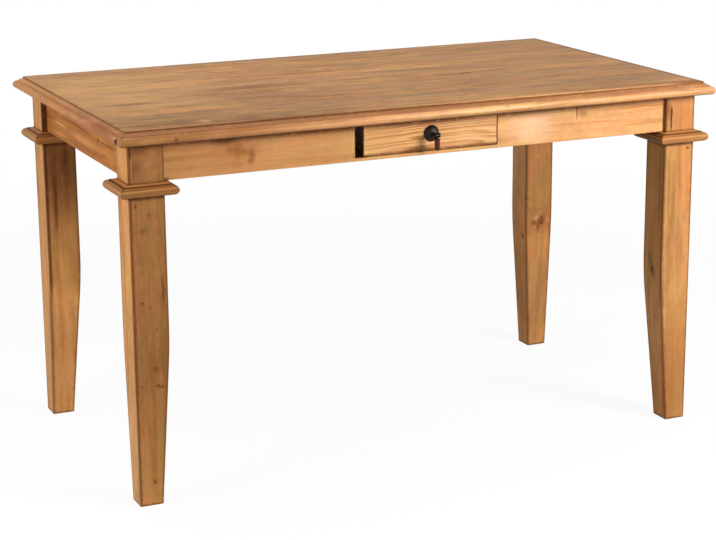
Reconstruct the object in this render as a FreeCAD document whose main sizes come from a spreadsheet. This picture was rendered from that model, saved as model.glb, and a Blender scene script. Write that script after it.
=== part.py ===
import FreeCAD, Part
import math
import os
import Sketcher
from types import SimpleNamespace
from FreeCAD import Placement, Rotation, Vector

# A rustic pine table: a plank top with a mitred moulded edge, four legs with mitred collars,
# aprons tenoned into the legs, and one drawer with a hanging drop pull.
# Frame: millimetres, +Z up, +X along the table, -Y to the drawer side, origin on the floor below the
# middle of the top. The legs and aprons stand a little to the right under the top, by the frame offset.

SIZES = {
    # overall
    "table_height": 800.0,
    "end_overhang": 26.5,
    "side_overhang": 49.0,
    "frame_offset": 5.0,
    # top boards and their moulded edge
    "field_length": 1349.0,
    "plank_width_one": 158.0,
    "plank_width_two": 149.0,
    "plank_width_three": 160.0,
    "plank_width_four": 146.0,
    "plank_width_five": 154.0,
    "top_thickness": 29.5,
    "edge_width": 20.0,
    "edge_step": 3.5,
    "edge_slope": 6.2,
    "edge_quirk": 1.2,
    # legs
    "leg_width": 76.0,
    "foot_width": 51.0,
    "taper_height": 345.0,
    "taper_blend": 45.0,
    "leg_ease": 2.5,
    "foot_ease": 1.5,
    # collars
    "collar_height": 25.5,
    "collar_width": 23.5,
    "collar_slope": 3.2,
    "collar_quirk": 1.2,
    # aprons and their tenons
    "apron_height": 84.5,
    "apron_thickness": 25.0,
    "apron_ease": 1.5,
    "long_apron_setback": 8.0,
    "end_apron_setback": 12.0,
    "tenon_length": 35.0,
    "tenon_height": 58.0,
    "tenon_thickness": 10.0,
    "tenon_rise": 12.0,
    "joint_clearance": 0.1,
    # battens and fixing blocks under the top, and their screws
    "batten_width": 60.0,
    "batten_height": 22.0,
    "batten_gap": 45.0,
    "block_length": 90.0,
    "block_width": 32.0,
    "block_height": 34.0,
    "block_inset": 97.0,
    "screw_radius": 2.0,
    "screw_head_radius": 4.0,
    "screw_head_height": 3.5,
    "screw_bite": 18.0,
    "screw_clearance": 0.1,
    # drawer opening, bearers, guides and stops
    "opening_width": 338.0,
    "rail_height": 7.2,
    "bearer_width": 65.0,
    "bearer_thickness": 18.0,
    "bearer_lift": 2.0,
    "bearer_lap": 15.5,
    "bearer_tenon_width": 22.0,
    "bearer_tenon_height": 12.0,
    "bearer_tenon_length": 10.0,
    "bearer_tenon_inset": 4.0,
    "guide_width": 18.0,
    "guide_height": 30.0,
    "guide_setback": 100.0,
    "guide_clearance": 1.0,
    "run_clearance": 0.3,
    "stop_length": 20.0,
    "stop_width": 15.0,
    "stop_height": 22.0,
    # drawer
    "drawer_front_width": 316.5,
    "drawer_front_thickness": 20.0,
    "drawer_front_ease": 1.2,
    "drawer_front_gap": 1.5,
    "drawer_right_gap": 1.8,
    "drawer_depth": 430.0,
    "drawer_side_thickness": 12.0,
    "drawer_side_height": 56.0,
    "drawer_bottom_thickness": 6.0,
    "drawer_bottom_rise": 8.0,
    "groove_depth": 6.0,
    "rabbet_depth": 8.0,
    # drop pull
    "rosette_radius": 17.5,
    "rosette_rim": 1.8,
    "rosette_height": 9.5,
    "stud_radius": 3.0,
    "stud_hole_clearance": 0.3,
    "stud_flange_radius": 4.6,
    "stud_flange_height": 2.2,
    "stud_tail": 5.0,
    "pivot_reach": 28.5,
    "fork_radius": 5.4,
    "fork_width": 11.4,
    "slot_clearance": 0.25,
    "pin_radius": 1.5,
    "pin_clearance": 0.05,
    "pin_seat_clearance": 0.02,
    "drop_eye_radius": 4.2,
    "drop_eye_thickness": 4.4,
    "drop_neck_radius": 2.1,
    "drop_neck_length": 5.9,
    "drop_shoulder_radius": 6.0,
    "drop_shoulder_depth": 7.4,
    "drop_foot_radius": 5.3,
    "drop_length": 33.2,
    "nut_width": 10.0,
    "nut_thickness": 4.0,
    # how far every cutting shape runs past the face that it enters
    "overrun": 4.0,
}

doc = FreeCAD.newDocument("tavern_table")
sheet = doc.addObject("Spreadsheet::Sheet", "sizes")
for row, (alias, number) in enumerate(SIZES.items(), 1):
    sheet.set(f"A{row}", alias)
    sheet.set(f"B{row}", str(number))
    sheet.setAlias(f"B{row}", alias)
doc.recompute()


class Formula:
    """A length worked out from the sheet: the expression that binds it, and its value now."""

    def __init__(self, text, value):
        self.text = text
        self.value = value

    def __add__(self, other):
        other = formula(other)
        return Formula(f"({self.text} + {other.text})", self.value + other.value)

    def __sub__(self, other):
        other = formula(other)
        return Formula(f"({self.text} - {other.text})", self.value - other.value)

    def __mul__(self, other):
        other = formula(other)
        return Formula(f"({self.text} * {other.text})", self.value * other.value)

    def __truediv__(self, other):
        other = formula(other)
        return Formula(f"({self.text} / {other.text})", self.value / other.value)

    def __radd__(self, other):
        return formula(other) + self

    def __rsub__(self, other):
        return formula(other) - self

    def __neg__(self):
        return Formula(f"(-{self.text})", -self.value)


def formula(item):
    return item if isinstance(item, Formula) else Formula(repr(item), item)


def function_of(name, angle):
    """The sine, cosine or tangent of a slope given as an angle formula in degrees."""
    return Formula(f"{name}({angle.text})", getattr(math, name)(math.radians(angle.value)))


size = SimpleNamespace(**{alias: Formula(f"sizes.{alias}", getattr(sheet, alias)) for alias in SIZES})
nodes = {}

# Helpers that bind document objects to the sheet

UPRIGHT = Vector(0, 0, 1)
ACROSS = Vector(1, 0, 0)
ALONG_Y = Rotation(ACROSS, 90)
ALONG_X = Rotation(Vector(0, 1, 0), 90)


def bind(item, **lengths):
    for name, length in lengths.items():
        item.setExpression(name, formula(length).text)


def place(item, x, y, z, rotation=Rotation()):
    item.Placement = Placement(Vector(), rotation)
    for axis, length in zip("xyz", (x, y, z)):
        item.setExpression(f"Placement.Base.{axis}", formula(length).text)
    return item


def turned(turn):
    return Rotation(UPRIGHT, turn)


def around(turn, x, y):
    """A point of a piece's own plan, turned by quarter turns into the table's plan."""
    return {0: (x, y), 90: (-y, x), 180: (-x, -y), -90: (y, -x)}[turn]


def node(label, item):
    item.Label = label
    nodes[label] = item
    return item


def block(name, corner, extent, kind="Part::Box", body=None):
    """A box from its low corner and its extent, alone or as a feature of a body."""
    item = body.newObject(kind, name) if body else doc.addObject(kind, name)
    bind(item, Length=extent[0], Width=extent[1], Height=extent[2])
    return place(item, *corner)


def add_block(body, name, corner, extent):
    return block(name, corner, extent, "PartDesign::AdditiveBox", body)


def cut_block(body, name, corner, extent):
    return block(name, corner, extent, "PartDesign::SubtractiveBox", body)


def rod(body, kind, name, radius, length, start, rotation=Rotation()):
    """A round feature of a body, from its start point along its rotated axis."""
    item = body.newObject(f"PartDesign::{kind}Cylinder", name)
    bind(item, Radius=radius, Height=length)
    return place(item, *start, rotation)


def joined(name, items):
    item = doc.addObject("Part::MultiFuse", name)
    item.Shapes = items
    return item


def cut(name, base, tool):
    item = doc.addObject("Part::Cut", name)
    item.Base = base
    item.Tool = tool
    return item


def group(name, items):
    item = doc.addObject("Part::Compound", name)
    item.Links = items
    return item


def new_body(name):
    return doc.addObject("PartDesign::Body", name)


def sketch_on(body, role, name):
    sketch = body.newObject("Sketcher::SketchObject", name)
    plane = [feature for feature in body.Origin.OriginFeatures if feature.Role == role][0]
    sketch.AttachmentSupport = (plane, [""])
    sketch.MapMode = "FlatFace"
    return sketch


def bind_constraint(sketch, constraint, length):
    index = sketch.addConstraint(constraint)
    sketch.setExpression(f"Constraints[{index}]", formula(length).text)


def outline(sketch, corners, arcs=None):
    """A closed outline through bound corners. arcs maps a corner's index to the centre of the arc that
    runs clockwise from it to the next corner; its other sides are straight."""
    arcs = arcs or {}
    first = sketch.GeometryCount
    count = len(corners)
    spots = [Vector(formula(x).value, formula(y).value, 0) for x, y in corners]
    for index, (start, end) in enumerate(zip(spots, spots[1:] + spots[:1])):
        if index in arcs:
            centre = Vector(formula(arcs[index][0]).value, formula(arcs[index][1]).value, 0)
            sweep = [math.atan2(spot.y - centre.y, spot.x - centre.x) for spot in (end, start)]
            circle = Part.Circle(centre, UPRIGHT, (start - centre).Length)
            sketch.addGeometry(Part.ArcOfCircle(circle, *sweep))
        else:
            sketch.addGeometry(Part.LineSegment(start, end))
    # a clockwise arc is stored backwards, so its first point is the end of the side
    ends = [(2, 1) if index in arcs else (1, 2) for index in range(count)]
    for index, (x, y) in enumerate(corners):
        after = (index + 1) % count
        sketch.addConstraint(Sketcher.Constraint(
            "Coincident", first + index, ends[index][1], first + after, ends[after][0]))
        bind_constraint(sketch, Sketcher.Constraint(
            "DistanceX", first + index, ends[index][0], spots[index].x), x)
        bind_constraint(sketch, Sketcher.Constraint(
            "DistanceY", first + index, ends[index][0], spots[index].y), y)
    # with both ends bound, one coordinate of the centre, its point 3, settles the arc
    for index, (x, _) in arcs.items():
        bind_constraint(sketch, Sketcher.Constraint("DistanceX", first + index, 3, formula(x).value), x)


def pad(body, sketch, length, side="Symmetric", reverse=False):
    feature = body.newObject("PartDesign::Pad", f"{sketch.Name}_pad")
    feature.Profile = sketch
    feature.SideType = side
    feature.Reversed = reverse
    bind(feature, Length=length)
    return feature


def pocket(body, sketch):
    """Cuts a sketch right through the body, both ways."""
    feature = body.newObject("PartDesign::Pocket", f"{sketch.Name}_pocket")
    feature.Profile = sketch
    feature.Type = "ThroughAll"
    feature.SideType = "Symmetric"
    return feature


def revolve(body, sketch):
    feature = body.newObject("PartDesign::Revolution", f"{sketch.Name}_turned")
    feature.Profile = sketch
    feature.ReferenceAxis = (sketch, ["V_Axis"])
    return feature


def ease(body, kind, name, chosen, **lengths):
    """Rounds (Fillet) or bevels (Chamfer) the edges of the body's last feature that are chosen."""
    doc.recompute()
    base = body.Tip
    edges = [f"Edge{index}" for index, edge in enumerate(base.Shape.Edges, 1) if chosen(edge.BoundBox)]
    feature = body.newObject(f"PartDesign::{kind}", name)
    feature.Base = (base, edges)
    bind(feature, **lengths)
    return feature


# Places that several pieces share

top_underside = size.table_height - size.top_thickness
apron_bottom = top_underside - size.apron_height
plank_widths = [getattr(size, f"plank_width_{word}") for word in ("one", "two", "three", "four", "five")]
field_width = sum(plank_widths)
frame_length = size.field_length + (size.edge_width - size.end_overhang) * 2
frame_width = field_width + (size.edge_width - size.side_overhang) * 2
left_end = size.frame_offset - frame_length / 2
right_end = size.frame_offset + frame_length / 2
half_width = frame_width / 2
plank_edges = [sum(plank_widths[:index], -field_width / 2) for index in range(len(plank_widths))]
plank_centres = [edge + width / 2 for edge, width in zip(plank_edges, plank_widths)]
front_face = size.long_apron_setback - half_width
front_inside = front_face + size.apron_thickness
end_depth = size.end_apron_setback + size.apron_thickness
inside_span = -front_inside * 2
OUTWARD_TURNS = {"front": 180, "back": 0, "left": 90, "right": -90}
INWARD_TURNS = {"front": 0, "back": 180, "left": -90, "right": 90}
LEG_TURNS = {"front_left": 0, "front_right": 90, "back_right": 180, "back_left": -90}

# Battens and fixing blocks: where they lie, and the screws through them.
# Each screw runs up from a head flush with the underside, or sideways from a block into its apron.

block_reach = size.leg_width + size.block_inset + size.block_length / 2
batten_reach = block_reach + size.block_length / 2 + size.batten_gap + size.batten_width / 2
batten_places = {"left": left_end + batten_reach, "right": right_end - batten_reach}
block_places = {
    "front_left": (left_end + block_reach, front_inside, INWARD_TURNS["front"]),
    "front_right": (right_end - block_reach, front_inside, INWARD_TURNS["front"]),
    "back_left": (left_end + block_reach, -front_inside, INWARD_TURNS["back"]),
    "back_right": (right_end - block_reach, -front_inside, INWARD_TURNS["back"]),
    "left_end": (left_end + end_depth, plank_centres[2], INWARD_TURNS["left"]),
    "right_end": (right_end - end_depth, plank_centres[2], INWARD_TURNS["right"]),
}


def screw(name, spot, rotation, through, slack):
    """A countersunk screw through one piece and into the next, or with slack the hole that it needs."""
    shank = doc.addObject("Part::Cylinder", f"{name}_shank")
    bind(shank, Radius=size.screw_radius + slack, Height=through + size.screw_bite + slack)
    head = doc.addObject("Part::Cone", f"{name}_head")
    bind(head, Radius1=size.screw_head_radius + slack, Radius2=size.screw_radius + slack,
         Height=size.screw_head_height + slack)
    for piece in (shank, head):
        place(piece, *spot, rotation)
    return joined(name, [shank, head])


screw_rows = {"batten": [], "block": []}
screw_place_share = 0.25
for side, x in batten_places.items():
    for index, y in enumerate(plank_centres):
        spot = (x, y, top_underside - size.batten_height)
        screw_rows["batten"].append((f"batten_{side}_{index}", spot, Rotation(), size.batten_height))
for name, (x, y, turn) in block_places.items():
    off = size.block_length * screw_place_share
    up_x, up_y = around(turn, off, size.block_width / 2)
    spot = (x + up_x, y + up_y, top_underside - size.block_height)
    screw_rows["block"].append((f"block_{name}_up", spot, Rotation(), size.block_height))
    in_x, in_y = around(turn, -off, size.block_width)
    spot = (x + in_x, y + in_y, top_underside - size.block_height / 2)
    screw_rows["block"].append((f"block_{name}_in", spot, turned(turn) * ALONG_Y, size.block_width))
screw_holes = {}
for kind, rows in screw_rows.items():
    screws = [screw(f"{row[0]}_screw", *row[1:], 0) for row in rows]
    node(f"{kind}_screws", group(f"{kind}_screw_set", screws))
    holes = [screw(f"{row[0]}_hole", *row[1:], size.screw_clearance) for row in rows]
    screw_holes[kind] = joined(f"{kind}_holes", holes)
all_holes = joined("all_holes", list(screw_holes.values()))

for side, x in batten_places.items():
    low = (x - size.batten_width / 2, front_inside, top_underside - size.batten_height)
    bar = block(f"batten_bar_{side}", low, (size.batten_width, inside_span, size.batten_height))
    node(f"batten_{side}", cut(f"batten_drilled_{side}", bar, screw_holes["batten"]))
for name, (x, y, turn) in block_places.items():
    back_x, back_y = around(turn, -size.block_length / 2, formula(0))
    cube = doc.addObject("Part::Box", f"fixing_cube_{name}")
    bind(cube, Length=size.block_length, Width=size.block_width, Height=size.block_height)
    place(cube, x + back_x, y + back_y, top_underside - size.block_height, turned(turn))
    node(f"fixing_block_{name}", cut(f"fixing_drilled_{name}", cube, screw_holes["block"]))

# Top: boards edge to edge, drilled from below for the screws

for index, (edge, width) in enumerate(zip(plank_edges, plank_widths), 1):
    low = (-size.field_length / 2, edge, top_underside)
    board = block(f"board_{index}", low, (size.field_length, width, size.top_thickness))
    node(f"top_plank_{index}", cut(f"board_drilled_{index}", board, all_holes))


def moulding(label, length, width, depth, step, slope, quirk, spot, turn):
    """A strip mitred at both ends, with a sloping top, a small quirk and a half-round nose below it.
    Its flat back is at y = 0, and its back's height is measured down from z = 0."""
    body = new_body(f"{label}_strip")
    nose = (depth - step - slope - quirk) / 2
    shoulder = width - nose
    profile = sketch_on(body, "YZ_Plane", f"{label}_profile")
    outline(profile, [(0, -step), (shoulder, -step - slope), (shoulder, -step - slope - quirk),
                      (shoulder, -depth), (0, -depth)], {2: (shoulder, nose - depth)})
    pad(body, profile, length + width * 2)
    mitre = sketch_on(body, "XY_Plane", f"{label}_mitre")
    far = length / 2 + width + size.overrun
    near = length / 2 - size.overrun
    for hand in (1, -1):
        ends = [(near, -size.overrun), (far, -size.overrun), (far, width + size.overrun)]
        outline(mitre, [(x if hand == 1 else -x, y) for x, y in ends])
    pocket(body, mitre)
    place(body, *spot, turned(turn))
    return node(label, body)


# Edge moulding: four strips round the boards, their tops a step below the boards

for side, turn in OUTWARD_TURNS.items():
    lengthwise = side in ("front", "back")
    reach = field_width / 2 if lengthwise else size.field_length / 2
    x, y = around(turn, formula(0), reach)
    moulding(f"edge_moulding_{side}", size.field_length if lengthwise else field_width, size.edge_width,
             size.top_thickness, size.edge_step, size.edge_slope, size.edge_quirk,
             (x, y, size.table_height), turn)

# Legs: square posts with two inner faces sawn to a taper, mortised for the aprons, and their collars.
# A leg's own plan has its outer corner at the origin and its inner faces towards +X and +Y.

taper = Formula("atan((sizes.leg_width - sizes.foot_width) / sizes.taper_height)", math.degrees(
    math.atan((size.leg_width.value - size.foot_width.value) / size.taper_height.value)))
blend_radius = size.taper_blend / function_of("tan", taper / 2)
blend_top = (size.leg_width, size.taper_height + size.taper_blend)
blend_centre = (size.leg_width - blend_radius, blend_top[1])
blend_foot = (size.leg_width - size.taper_blend * function_of("sin", taper),
              size.taper_height - size.taper_blend * function_of("cos", taper))
undercut = (size.foot_width - size.overrun * function_of("tan", taper), -size.overrun)


def leg(label, spot, turn, setbacks):
    body = new_body(f"{label}_post")
    side = sketch_on(body, "XZ_Plane", f"{label}_side")
    outline(side, [(0, 0), (0, top_underside), (size.leg_width, top_underside), blend_top, blend_foot,
                   (size.foot_width, 0)], {3: blend_centre})
    pad(body, side, size.leg_width, "One side", True)
    waste = sketch_on(body, "YZ_Plane", f"{label}_waste")
    beyond = size.leg_width + size.overrun
    outline(waste, [blend_top, blend_foot, undercut, (beyond, -size.overrun), (beyond, blend_top[1])],
            {0: blend_centre})
    pocket(body, waste)
    ease(body, "Chamfer", f"{label}_toe", lambda box: box.ZMax < size.foot_ease.value / 2,
         Size=size.foot_ease)
    ease(body, "Fillet", f"{label}_arris", lambda box: box.ZLength > size.foot_ease.value * 2,
         Radius=size.leg_ease)
    slack = size.joint_clearance
    depth = size.tenon_length + slack
    cheek = (size.apron_thickness - size.tenon_thickness) / 2 - slack
    breadth = size.tenon_thickness + slack * 2
    low = apron_bottom + size.tenon_rise - slack
    tall = size.tenon_height + slack * 2
    cut_block(body, f"{label}_mortise_x", (size.leg_width - depth, setbacks[0] + cheek, low),
              (depth + size.overrun, breadth, tall))
    cut_block(body, f"{label}_mortise_y", (setbacks[1] + cheek, size.leg_width - depth, low),
              (breadth, depth + size.overrun, tall))
    place(body, *spot, turned(turn))
    return node(label, body)


leg_places = {
    "front_left": (left_end, -half_width),
    "front_right": (right_end, -half_width),
    "back_right": (right_end, half_width),
    "back_left": (left_end, half_width),
}
for name, (x, y) in leg_places.items():
    turn = LEG_TURNS[name]
    setbacks = [size.long_apron_setback, size.end_apron_setback]
    leg(f"leg_{name}", (x, y, 0), turn,
        setbacks if name in ("front_left", "back_right") else setbacks[::-1])
    mid_x, mid_y = around(turn, size.leg_width / 2, size.leg_width / 2)
    for side, facing in OUTWARD_TURNS.items():
        out_x, out_y = around(facing, formula(0), size.leg_width / 2)
        moulding(f"collar_{name}_{side}", size.leg_width, size.collar_width, size.collar_height, 0,
                 size.collar_slope, size.collar_quirk,
                 (x + mid_x + out_x, y + mid_y + out_y, apron_bottom), facing)

# Aprons: boards on edge with a tenon at each end. An apron's own plan runs along X from its middle,
# with its outer face at y = 0. The drawer opening is sawn out of the front apron's top edge.

drawer_right = size.frame_offset + size.opening_width / 2 - size.drawer_right_gap
drawer_left = drawer_right - size.drawer_front_width
bearer_bottom = apron_bottom + size.bearer_lift
bearer_top = bearer_bottom + size.bearer_thickness
bearer_lows = {"left": drawer_left + size.bearer_lap - size.bearer_width,
               "right": drawer_right - size.bearer_lap}
bearer_tenon_lows = {
    "left": bearer_lows["left"] + size.bearer_tenon_inset,
    "right": bearer_lows["right"] + size.bearer_width - size.bearer_tenon_inset - size.bearer_tenon_width,
}
bearer_tenon_rise = (size.bearer_thickness - size.bearer_tenon_height) / 2
apron_places = {
    "front": (size.frame_offset, front_face, frame_length),
    "back": (size.frame_offset, -front_face, frame_length),
    "left": (left_end + size.end_apron_setback, 0, frame_width),
    "right": (right_end - size.end_apron_setback, 0, frame_width),
}


def apron(side):
    x, y, frame_span = apron_places[side]
    body = new_body(f"apron_{side}_board")
    span = frame_span - size.leg_width * 2
    add_block(body, f"apron_{side}_blank", (-span / 2, 0, 0), (span, size.apron_thickness, size.apron_height))
    ease(body, "Fillet", f"apron_{side}_eased",
         lambda box: box.XLength > box.YLength + box.ZLength and box.ZMax < size.apron_ease.value,
         Radius=size.apron_ease)
    reach = span + size.tenon_length * 2
    add_block(body, f"apron_{side}_tenons",
              (-reach / 2, (size.apron_thickness - size.tenon_thickness) / 2, size.tenon_rise),
              (reach, size.tenon_thickness, size.tenon_height))
    if side == "front":
        cut_block(body, "drawer_opening", (-size.opening_width / 2, -size.overrun, size.rail_height),
                  (size.opening_width, size.apron_thickness + size.overrun * 2, size.apron_height))
    if side in ("front", "back"):
        slack = size.joint_clearance
        for hand, low in bearer_tenon_lows.items():
            start = low - x if side == "front" else x - low - size.bearer_tenon_width
            cut_block(body, f"apron_{side}_mortise_{hand}",
                      (start - slack, size.apron_thickness - size.bearer_tenon_length - slack,
                       size.bearer_lift + bearer_tenon_rise - slack),
                      (size.bearer_tenon_width + slack * 2, size.bearer_tenon_length + slack + size.overrun,
                       size.bearer_tenon_height + slack * 2))
    place(body, x, y, apron_bottom, turned(INWARD_TURNS[side]))
    return node(f"apron_{side}", cut(f"apron_{side}_drilled", body, screw_holes["block"]))


for side in apron_places:
    apron(side)

# Drawer bearers, tenoned into the long aprons, with guides on them beside the drawer and stops behind it

guide_lows = {"left": drawer_left - size.guide_clearance - size.guide_width,
              "right": drawer_right + size.guide_clearance}
stop_lows = {"left": drawer_left, "right": drawer_right - size.stop_width}
drawer_back = front_face + size.drawer_depth
stop_blocks = []
for side, low in bearer_lows.items():
    body = new_body(f"bearer_{side}_bar")
    add_block(body, f"bearer_{side}_blank", (low, front_inside, bearer_bottom),
              (size.bearer_width, inside_span, size.bearer_thickness))
    add_block(body, f"bearer_{side}_tenons",
              (bearer_tenon_lows[side], front_inside - size.bearer_tenon_length,
               bearer_bottom + bearer_tenon_rise),
              (size.bearer_tenon_width, inside_span + size.bearer_tenon_length * 2, size.bearer_tenon_height))
    node(f"drawer_bearer_{side}", body)
    start = front_inside + size.guide_setback
    node(f"drawer_guide_{side}", block(f"guide_{side}", (guide_lows[side], start, bearer_top),
                                       (size.guide_width, -front_inside - start, size.guide_height)))
    stop_blocks.append(block(f"stop_{side}", (stop_lows[side], drawer_back + size.run_clearance, bearer_top),
                             (size.stop_width, size.stop_length, size.stop_height)))
node("drawer_stops", group("drawer_stop_pair", stop_blocks))

# Drawer: front rabbeted for the sides, a bottom panel in grooves, and a back that stands on the panel

front_low = apron_bottom + size.rail_height + size.drawer_front_gap
front_tall = size.apron_height - size.rail_height - size.drawer_front_gap * 2
drawer_middle = (drawer_left + drawer_right) / 2
pull_height = front_low + front_tall / 2
front_back = front_face + size.drawer_front_thickness
side_low = bearer_top + size.run_clearance
side_start = front_back - size.rabbet_depth
panel_low = side_low + size.drawer_bottom_rise
groove_low = panel_low - size.joint_clearance
groove_tall = size.drawer_bottom_thickness + size.joint_clearance * 2
inner_left = drawer_left + size.drawer_side_thickness
inner_right = drawer_right - size.drawer_side_thickness
inner_width = inner_right - inner_left
groove_reach = size.groove_depth + size.overrun
panel_lip = size.groove_depth - size.joint_clearance

body = new_body("drawer_front_board")
add_block(body, "drawer_front_blank", (drawer_left, front_face, front_low),
          (size.drawer_front_width, size.drawer_front_thickness, front_tall))
ease(body, "Fillet", "drawer_front_eased",
     lambda box: box.YMax < front_face.value + size.drawer_front_ease.value, Radius=size.drawer_front_ease)
for side, low in (("left", drawer_left - size.overrun), ("right", inner_right)):
    cut_block(body, f"drawer_front_rabbet_{side}", (low, side_start, front_low - size.overrun),
              (size.drawer_side_thickness + size.overrun, size.rabbet_depth + size.overrun,
               front_tall + size.overrun * 2))
cut_block(body, "drawer_front_groove",
          (inner_left - size.overrun, front_back - size.groove_depth, groove_low),
          (inner_width + size.overrun * 2, groove_reach, groove_tall))
rod(body, "Subtractive", "drawer_front_hole", size.stud_radius + size.stud_hole_clearance,
    size.drawer_front_thickness + size.overrun * 2,
    (drawer_middle, front_back + size.overrun, pull_height), ALONG_Y)
node("drawer_front", body)

side_places = {"left": (drawer_left, inner_left - size.groove_depth),
               "right": (inner_right, inner_right - size.overrun)}
for side, (low, groove_start) in side_places.items():
    body = new_body(f"drawer_side_{side}_board")
    add_block(body, f"drawer_side_{side}_blank", (low, side_start, side_low),
              (size.drawer_side_thickness, drawer_back - side_start, size.drawer_side_height))
    cut_block(body, f"drawer_side_{side}_groove", (groove_start, side_start - size.overrun, groove_low),
              (groove_reach, drawer_back - side_start + size.overrun * 2, groove_tall))
    node(f"drawer_side_{side}", body)

panel_start = front_back - panel_lip
node("drawer_bottom", block("drawer_panel", (inner_left - panel_lip, panel_start, panel_low),
                            (inner_width + panel_lip * 2, drawer_back - panel_start,
                             size.drawer_bottom_thickness)))
back_low = panel_low + size.drawer_bottom_thickness
node("drawer_back", block("drawer_back_board",
                          (inner_left, drawer_back - size.drawer_side_thickness, back_low),
                          (inner_width, size.drawer_side_thickness,
                           side_low + size.drawer_side_height - back_low)))

# Drop pull. Each piece's own plan has its axis along Z, outwards from the drawer's face at z = 0.


def turn_out(body):
    return place(body, drawer_middle, front_face, pull_height, ALONG_Y)


body = new_body("rosette_dome")
profile = sketch_on(body, "XZ_Plane", "rosette_profile")
dome_rise = size.rosette_height - size.rosette_rim
dome_radius = (size.rosette_radius * size.rosette_radius / dome_rise + dome_rise) / 2
outline(profile, [(0, size.rosette_height), (size.rosette_radius, size.rosette_rim), (size.rosette_radius, 0),
                  (0, 0)], {0: (0, size.rosette_height - dome_radius)})
revolve(body, profile)
rod(body, "Subtractive", "rosette_hole", size.stud_radius + size.pin_clearance,
    size.rosette_height + size.overrun * 2, (0, 0, -size.overrun))
node("pull_rosette", turn_out(body))

body = new_body("stud_turned")
slot_floor = size.pivot_reach - size.drop_eye_radius - size.slot_clearance
stud_back = size.drawer_front_thickness + size.nut_thickness + size.stud_tail
rod(body, "Additive", "stud_shank", size.stud_radius, stud_back + size.pivot_reach, (0, 0, -stud_back))
rod(body, "Additive", "stud_flange", size.stud_flange_radius, size.stud_flange_height,
    (0, 0, size.rosette_height))
rod(body, "Additive", "stud_fork", size.fork_radius, size.fork_width,
    (-size.fork_width / 2, 0, size.pivot_reach), ALONG_X)
slot_width = size.drop_eye_thickness + size.slot_clearance * 2
slot_side = size.fork_radius + size.overrun
cut_block(body, "stud_slot", (-slot_width / 2, -slot_side, slot_floor),
          (slot_width, slot_side * 2, size.pivot_reach))
rod(body, "Subtractive", "stud_pin_hole", size.pin_radius + size.pin_seat_clearance,
    size.fork_width + size.overrun * 2,
    (-size.fork_width / 2 - size.overrun, 0, size.pivot_reach), ALONG_X)
node("pull_stud", turn_out(body))

body = new_body("pin_rod")
rod(body, "Additive", "pin_shank", size.pin_radius, size.fork_width,
    (-size.fork_width / 2, 0, size.pivot_reach), ALONG_X)
node("pull_pin", turn_out(body))

body = new_body("nut_block")
add_block(body, "nut_blank", (-size.nut_width / 2, -size.nut_width / 2,
                              -size.drawer_front_thickness - size.nut_thickness),
          (size.nut_width, size.nut_width, size.nut_thickness))
rod(body, "Subtractive", "nut_hole", size.stud_radius + size.pin_seat_clearance,
    size.drawer_front_thickness + size.nut_thickness + size.overrun,
    (0, 0, -size.drawer_front_thickness - size.nut_thickness - size.overrun))
node("pull_nut", turn_out(body))

# The drop hangs from its pin: an eye, a narrow neck and a long body with a round end
body = new_body("drop_forged")
profile = sketch_on(body, "XZ_Plane", "drop_profile")
drop_foot = size.drop_foot_radius - size.drop_length
outline(profile, [(0, 0), (size.drop_neck_radius, 0), (size.drop_neck_radius, -size.drop_neck_length),
                  (size.drop_shoulder_radius, -size.drop_shoulder_depth),
                  (size.drop_foot_radius, drop_foot), (0, -size.drop_length)], {4: (0, drop_foot)})
revolve(body, profile)
rod(body, "Additive", "drop_eye", size.drop_eye_radius, size.drop_eye_thickness,
    (-size.drop_eye_thickness / 2, 0, 0), ALONG_X)
rod(body, "Subtractive", "drop_pin_hole", size.pin_radius + size.pin_clearance,
    size.drop_eye_thickness + size.overrun * 2,
    (-size.drop_eye_thickness / 2 - size.overrun, 0, 0), ALONG_X)
node("pull_drop", place(body, drawer_middle, front_face - size.pivot_reach, pull_height))

# Check every object, then write each piece

doc.recompute()
failed = [item.Name for item in doc.Objects if "Invalid" in item.State or "Error" in item.State]
failed += [label for label, item in nodes.items() if item.Shape.isNull() or not item.Shape.isValid()]
if failed:
    raise RuntimeError(f"these objects failed: {failed}")
os.makedirs("parts", exist_ok=True)
for label, item in nodes.items():
    item.Shape.exportStep(f"parts/{label}.step")
    print(label, len(item.Shape.Solids), round(item.Shape.Volume, 1))
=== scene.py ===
from math import cos, pi, radians, sin

import bmesh
import bpy
from mathutils import Matrix, Vector, noise


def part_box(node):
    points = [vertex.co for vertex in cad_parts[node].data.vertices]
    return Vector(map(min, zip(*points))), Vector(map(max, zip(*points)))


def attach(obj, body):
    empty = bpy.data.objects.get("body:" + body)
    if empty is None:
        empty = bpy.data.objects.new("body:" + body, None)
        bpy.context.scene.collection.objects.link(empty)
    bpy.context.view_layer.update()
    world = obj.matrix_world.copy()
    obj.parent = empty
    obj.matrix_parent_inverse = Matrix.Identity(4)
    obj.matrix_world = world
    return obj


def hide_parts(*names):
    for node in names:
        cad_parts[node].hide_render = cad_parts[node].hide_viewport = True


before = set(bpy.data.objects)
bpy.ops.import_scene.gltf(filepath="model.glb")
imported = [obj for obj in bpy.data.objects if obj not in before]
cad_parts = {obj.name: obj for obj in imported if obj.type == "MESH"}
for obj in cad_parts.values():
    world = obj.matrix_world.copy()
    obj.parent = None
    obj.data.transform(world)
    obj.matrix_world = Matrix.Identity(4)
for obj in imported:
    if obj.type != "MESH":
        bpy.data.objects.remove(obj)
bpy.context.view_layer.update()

# The legs: four square posts of old waxed pine, each sawn from one length of wood.
# Their two inner faces are planed to a taper below the collar, and the arrises are worn round.

GRAIN_TURNS = {"x": (0.0, 0.0, 0.0), "y": (0.0, 0.0, pi / 2), "z": (0.0, -pi / 2, 0.0)}


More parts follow.
